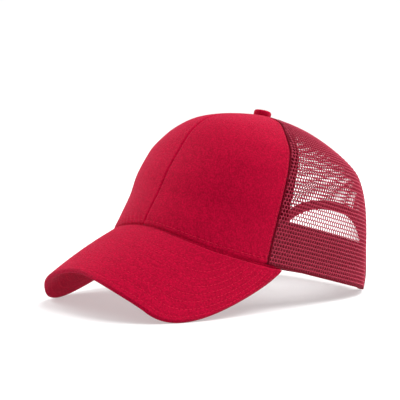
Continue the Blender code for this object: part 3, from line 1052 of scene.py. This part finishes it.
def binding_point(share, reach, depth):
    """A point by the arch: reach is how far it is from the opening's edge, and depth how deep."""
    edge_angle, edge_row = opening_edge(share)
    rows = even_rows(0, row_at_radius(TIP_RADIUS), np.linspace(0, 1, 200))
    climb = len(rows) - 1
    whole = 2 * climb + ARCH_STEPS
    place = share * whole
    row = np.interp(np.minimum(place, whole - place), np.arange(climb + 1), rows)
    across = np.clip((place - climb) / ARCH_STEPS, 0, 1)
    seam = BACK_SEAM + (360 - 2 * BACK_SEAM) * across

    def between(part):
        return edge_angle + (seam - edge_angle) * part, edge_row + (row - edge_row) * part

    pace = np.linalg.norm(crown(*between(0.01)) - crown(*between(0.0)), axis=-1) / 0.01
    return on_crown(*between(reach / pace), depth)


def binding_section():
    """Round the folded tape's section, as reach and depth: its outer side, then its inner side."""
    middle = NET_THICKNESS / 2
    skin = SEAM_GAP + TAPE_THICKNESS

    def fold(radius, turns):
        return [(-radius * math.sin(turn), middle - (middle + radius) * math.cos(turn)) for turn in turns]

    legs = np.linspace(BINDING_WIDTH, 0, 10)[:-1]
    lip = BINDING_WIDTH - BINDING_LIP
    section = [(lip, -SEAM_GAP)] + [(reach, -skin) for reach in legs]
    section += fold(skin, np.linspace(0, math.pi, 9))
    section += [(reach, NET_THICKNESS + skin) for reach in legs[::-1]] + [(lip, NET_THICKNESS + SEAM_GAP)]
    section += [(reach, NET_THICKNESS + SEAM_GAP) for reach in legs[:0:-1]]
    section += fold(SEAM_GAP, np.linspace(math.pi, 0, 7))
    section += [(reach, -SEAM_GAP) for reach in legs[:0:-1]]
    return np.array(section + section[:1])


class CAP_OT_opening_binding(bpy.types.Operator):
    """Make the tape folded over the arched opening's edge"""
    bl_idname = "cap.opening_binding"
    bl_label = "Opening Binding"

    def execute(self, context):
        section = binding_section()
        piece = new_grid("opening_binding_tape", 150, len(section) - 1)
        share, around, _ = coords(piece).T
        at = np.rint(around * (len(section) - 1)).astype(int)
        set_coords(piece, binding_point(share, section[at, 0], section[at, 1]))
        girth = np.cumsum(np.hypot(*np.diff(section, axis=0, prepend=section[:1]).T))
        set_weave(piece, np.column_stack([share * ARCH_LENGTH, girth[at]]))
        close_up(piece, 1e-6)
        edit(
            piece,
            lambda: bpy.ops.mesh.select_all(action="DESELECT"),
            lambda: bpy.ops.mesh.select_non_manifold(),
            lambda: bpy.ops.mesh.fill_holes(sides=0),
            lambda: bpy.ops.mesh.select_all(action="SELECT"),
            lambda: bpy.ops.mesh.normals_make_consistent(inside=False),
        )
        hand_in(piece, "binding_tape", "tape", "opening_binding", angle=60)
        line = np.linspace(*BINDING_STITCH_ENDS, 200)
        skin = SEAM_GAP + TAPE_THICKNESS
        reach = np.full(len(line), BINDING_STITCHES)
        paths = [
            binding_point(line, reach, np.full(len(line), depth)) for depth in (-skin, NET_THICKNESS + skin)
        ]
        stitching("binding_stitching", paths, "tape_thread", "tape")
        return {"FINISHED"}


class CAP_OT_sweatband(bpy.types.Operator):
    """Make the sweatband inside the rim, with its stitches"""
    bl_idname = "cap.sweatband"
    bl_label = "Sweatband"

    def execute(self, context):
        end = band_end() + BAND_REACH
        piece = new_grid("sweatband_cloth", 260, 28)
        share, climb, _ = coords(piece).T
        angle = -end + 2 * end * share
        set_coords(piece, sewn(angle, row_at_height(BAND_HEIGHT) * climb, LINING_DEPTH))
        around = np.linspace(-end, end, 721)
        steps = np.linalg.norm(np.diff(crown(around, 0.0), axis=0), axis=-1)
        arc = np.interp(angle, around, np.append(0, np.cumsum(steps)))
        set_weave(piece, np.column_stack([arc, climb * BAND_HEIGHT]))
        thicken(piece, BAND_THICKNESS, BAND_ROUNDING, 3)
        hand_in(piece, "band_cloth", "band_cloth", "sweatband")
        line = np.linspace(-end + BAND_STITCH_END, end - BAND_STITCH_END, 500)
        inner = LINING_DEPTH + BAND_THICKNESS
        paths = [sewn(line, row_at_height(height), inner) for height in BAND_STITCHES]
        stitching("band_stitching", paths, "tape_thread", "band_cloth")
        return {"FINISHED"}


class CAP_OT_closure_strap(bpy.types.Operator):
    """Make the strap that closes the cap under the arched opening"""
    bl_idname = "cap.closure_strap"
    bl_label = "Closure Strap"

    def execute(self, context):
        first = band_end() + span(band_end(), 0.0, STRAP_END_GAP)
        rows = row_at_height(np.linspace(STRAP_FOOT, STRAP_TOP, 12))
        piece = strip("closure_strap_webbing", first, 360 - first, rows, STRAP_DEPTH, STRAP_THICKNESS, 90, 14)
        hand_in(piece, "strap_webbing", "strap_weave", "closure_strap")
        line = np.linspace(first + STRAP_STITCH_END, 360 - STRAP_STITCH_END - first, 160)
        paths = [
            sewn(line, row_at_height(height), depth)
            for height in (STRAP_FOOT + STRAP_STITCHES, STRAP_TOP - STRAP_STITCHES)
            for depth in (STRAP_DEPTH, STRAP_DEPTH + STRAP_THICKNESS)
        ]
        stitching("strap_stitching", paths, "tape_thread", "strap_weave")
        return {"FINISHED"}


# Peak and button

def peak_profile():
    """Round the peak's section, over its top, round its edge, back below and round its inner end.

    Each row is how far out on the flat it is, how far past the flat's end, and on which side: 1 on
    top, -1 below and less between them.
    """
    half = PEAK_THICKNESS / 2
    rows = [(share, 0.0, 1.0) for share in np.linspace(PEAK_INNER_END, 1, 110)]
    for turn in np.linspace(0, math.pi, 17)[1:-1]:
        crease = hump(math.degrees(turn) - PEAK_FOLD_LINE, PEAK_FOLD_BREADTH)
        reach = half - PEAK_FOLD_DEPTH * crease
        rows.append((1.0, reach * math.sin(turn), reach / half * math.cos(turn)))
    rows += [(share, 0.0, -1.0) for share in np.linspace(1, PEAK_INNER_END, 70)]
    rows += [(share, 0.0, side) for share, side in PEAK_TONGUE]
    return np.array(rows + rows[:1])


def peak_point(share, flat, past, side, dip):
    """A point of the peak: flat runs outward to where the rounded edge starts."""
    half = PEAK_THICKNESS / 2
    length = np.maximum(peak_length(share), 1e-4)
    room = np.minimum(half, PEAK_EDGE_ROOM * length)
    outward = flat * (1 - room / length) + past / half * room / length
    thin = np.clip((1 - np.abs(share)) / PEAK_THINNING, 0, 1)**0.5
    depth = half - half * side * thin + dip * np.sign(side)
    return stand(below(peak, outward, share, depth))


def stitch_distances(settings):
    return [settings.peak_first + settings.peak_spacing * number for number in range(settings.peak_rows)]


class CAP_OT_peak(bpy.types.Operator):
    """Make the curved peak with its rolled edge and rows of stitching"""
    bl_idname = "cap.peak"
    bl_label = "Peak"

    def execute(self, context):
        settings = context.scene.cap_stitches
        profile = peak_profile()
        piece = new_grid("peak_cloth", 200, len(profile) - 1)
        across, around, _ = coords(piece).T
        at = np.rint(around * (len(profile) - 1)).astype(int)
        share = 2 * across - 1
        share = np.sign(share) * (1 - (1 - np.abs(share))**PEAK_CROWDING)
        flat, past, side = profile[at].T
        length = peak_length(share)
        from_edge = (1 - flat) * length + PEAK_THICKNESS / 2
        dip = np.zeros(len(share))
        for distance in stitch_distances(settings):
            dip += STITCH_DIP * hump(from_edge - distance, STITCH_DIP_BREADTH)
        dip += RIM_DIP * hump(flat * length, RIM_DIP_BREADTH)
        dip *= np.clip(length / PEAK_DIP_LENGTH, 0, 1) * (past == 0) * (np.abs(side) > 0.9)
        set_coords(piece, peak_point(share, flat, past, side, dip))
        set_weave(piece, np.column_stack([share * PEAK_GIRTH, flat * length * side]))
        close_up(piece, 3e-6)
        hand_in(piece, "crimson_twill", "twill", "peak", angle=60)
        paths = []
        for distance in stitch_distances(settings):
            line = np.linspace(*PEAK_STITCH_ENDS, 400)
            line = line[peak_length(line) > distance + PEAK_STITCH_ROOM]
            outward = 1 - distance / peak_length(line)
            for depth in (PEAK_STITCH_DEPTH, PEAK_THICKNESS - PEAK_STITCH_DEPTH):
                paths.append(stand(below(peak, outward, line, np.full(len(line), depth))))
        stitching("peak_stitching", paths, "twill_thread", "twill")
        return {"FINISHED"}


class CAP_OT_button(bpy.types.Operator):
    """Make the cloth-covered button on the crown's top"""
    bl_idname = "cap.button"
    bl_label = "Button"

    def execute(self, context):
        bpy.ops.object.select_all(action="DESELECT")
        bpy.ops.mesh.primitive_uv_sphere_add(segments=64, ring_count=32, radius=1, calc_uvs=False)
        piece = bpy.context.active_object
        piece.name = piece.data.name = "button_cover"
        points = coords(piece)
        round_part = np.hypot(points[:, 0], points[:, 1])
        turn = np.arctan2(points[:, 1], points[:, 0])
        rise = np.arcsin(np.clip(points[:, 2], -1, 1))
        wide = np.abs(np.cos(rise))**BUTTON_SIDE_BLUNTNESS
        tall = np.sign(rise) * np.abs(np.sin(rise))**BUTTON_TOP_BLUNTNESS
        gather = 1 + PLEAT_DEPTH * np.cos(BUTTON_PLEATS * turn) * np.clip(PLEAT_TOP - tall, 0, 1)
        radius = BUTTON_RADIUS * wide * np.where(round_part > 1e-6, gather, 0)
        body = (BUTTON_HEIGHT + BUTTON_COVER) * (tall + 1) / 2
        sag = BUTTON_SEAT * (radius / BUTTON_RADIUS)**2 * (tall < 0)
        height = CROWN_HEIGHT - BUTTON_SEAT + body - sag
        place = np.column_stack([radius * np.cos(turn), radius * np.sin(turn), height])
        set_coords(piece, stand(place))
        set_weave(piece, place[:, :2])
        hand_in(piece, "crimson_twill", "twill", "button", angle=80)
        return {"FINISHED"}


# Stage

def lay_floor(settings):
    """A sheet of paper that reaches to the horizon."""
    bpy.ops.object.select_all(action="DESELECT")
    bpy.ops.mesh.primitive_circle_add(vertices=96, radius=FLOOR_RADIUS, fill_type="NGON")
    floor = bpy.context.active_object
    floor.name = floor.data.name = "floor"
    grey = (PAPER_GREY, PAPER_GREY, PAPER_GREY)
    paper = new_material("paper", grey, roughness=0.9, sheen=0.0, sheen_tint=(1, 1, 1))
    surface = paper.node_tree.nodes["Principled BSDF"]
    surface.inputs["Emission Color"].default_value = (1, 1, 1, 1)
    surface.inputs["Emission Strength"].default_value = settings.glow
    floor.data.materials.append(paper)


def studio_light(settings):
    """Light all round: white at the horizon, and weaker from above."""
    world = bpy.data.worlds.new("studio")
    world.use_nodes = True
    nodes, links = world.node_tree.nodes, world.node_tree.links
    nodes["Background"].inputs["Color"].default_value = (1, 1, 1, 1)
    direction = nodes.new("ShaderNodeTexCoord")
    parts = nodes.new("ShaderNodeSeparateXYZ")
    falling = nodes.new("ShaderNodeMapRange")
    ends = {"From Min": HORIZON, "From Max": SKY, "To Min": 1.0, "To Max": settings.fill}
    for name, value in ends.items():
        falling.inputs[name].default_value = value
    links.new(direction.outputs["Generated"], parts.inputs[0])
    links.new(parts.outputs["Z"], falling.inputs["Value"])
    links.new(falling.outputs["Result"], nodes["Background"].inputs["Strength"])
    return world


def hang_lights(settings):
    """A soft light above and a softbox to each side."""
    bpy.ops.object.light_add(type="SUN", rotation=[math.radians(turn) for turn in KEY_TURN])
    key = bpy.context.active_object
    key.name = "key"
    key.data.energy = settings.key
    key.data.angle = math.radians(KEY_SPREAD)
    for name, place in SOFTBOXES:
        turn = (Vector(SOFTBOX_AIM) - Vector(place)).to_track_quat("-Z", "Y").to_euler()
        bpy.ops.object.light_add(type="AREA", location=place, rotation=turn)
        box = bpy.context.active_object
        box.name = name
        box.data.shape = "RECTANGLE"
        box.data.size, box.data.size_y = SOFTBOX_SIZE, SOFTBOX_SIZE
        box.data.energy = settings.sides


def set_camera():
    """The camera at the photograph's angle."""
    azimuth, elevation = math.radians(CAMERA["azimuth"]), math.radians(CAMERA["elevation"])
    right = np.array([math.cos(azimuth), math.sin(azimuth), 0])
    back = np.array([
        math.sin(azimuth) * math.cos(elevation),
        -math.cos(azimuth) * math.cos(elevation),
        math.sin(elevation),
    ])
    target = np.array([0, CAMERA["aim_ahead"], CAMERA["aim_height"]]) + CAMERA["aim_right"] * right
    bpy.ops.object.camera_add(location=target + CAMERA["distance"] * back)
    camera = bpy.context.active_object
    camera.name = "camera"
    camera.rotation_euler = (math.pi / 2 - elevation, 0, azimuth)
    camera.rotation_euler.rotate_axis("Z", math.radians(CAMERA["roll"]))
    camera.data.sensor_width = SENSOR_WIDTH
    camera.data.lens = CAMERA["focal_pixels"] / PICTURE_PIXELS * SENSOR_WIDTH
    camera.data.clip_end = FAR_CLIP
    return camera


class CAP_OT_stage(bpy.types.Operator):
    """Lay the floor, hang the lights and set the camera"""
    bl_idname = "cap.stage"
    bl_label = "Stage"

    def execute(self, context):
        settings = context.scene.cap_stage
        lay_floor(settings)
        context.scene.world = studio_light(settings)
        hang_lights(settings)
        context.scene.camera = set_camera()
        context.scene.view_settings.view_transform = "Standard"
        return {"FINISHED"}


class CAP_PT_panel(bpy.types.Panel):
    bl_label = "Ponytail Cap"
    bl_idname = "CAP_PT_panel"
    bl_space_type = "VIEW_3D"
    bl_region_type = "UI"
    bl_category = "Cap"

    def draw(self, context):
        for operator in OPERATORS:
            self.layout.operator(operator.bl_idname)


SETTINGS = {"cap_cloth": CapCloth, "cap_net": CapNet, "cap_stitches": CapStitches, "cap_stage": CapStage}
OPERATORS = (
    CAP_OT_stage,
    CAP_OT_front_panels,
    CAP_OT_net_panels,
    CAP_OT_seam_tapes,
    CAP_OT_opening_binding,
    CAP_OT_sweatband,
    CAP_OT_closure_strap,
    CAP_OT_peak,
    CAP_OT_button,
)
CLASSES = (*SETTINGS.values(), *OPERATORS, CAP_PT_panel)


def register():
    for cls in CLASSES:
        bpy.utils.register_class(cls)
    for name, cls in SETTINGS.items():
        setattr(bpy.types.Scene, name, bpy.props.PointerProperty(type=cls))


def unregister():
    for name in SETTINGS:
        delattr(bpy.types.Scene, name)
    for cls in reversed(CLASSES):
        bpy.utils.unregister_class(cls)


def main():
    register()
    bpy.ops.cap.stage()
    bpy.ops.cap.front_panels()
    bpy.ops.cap.net_panels()
    bpy.ops.cap.seam_tapes()
    bpy.ops.cap.opening_binding()
    bpy.ops.cap.sweatband()
    bpy.ops.cap.closure_strap()
    bpy.ops.cap.peak()
    bpy.ops.cap.button()


if __name__ == "__main__":
    main()
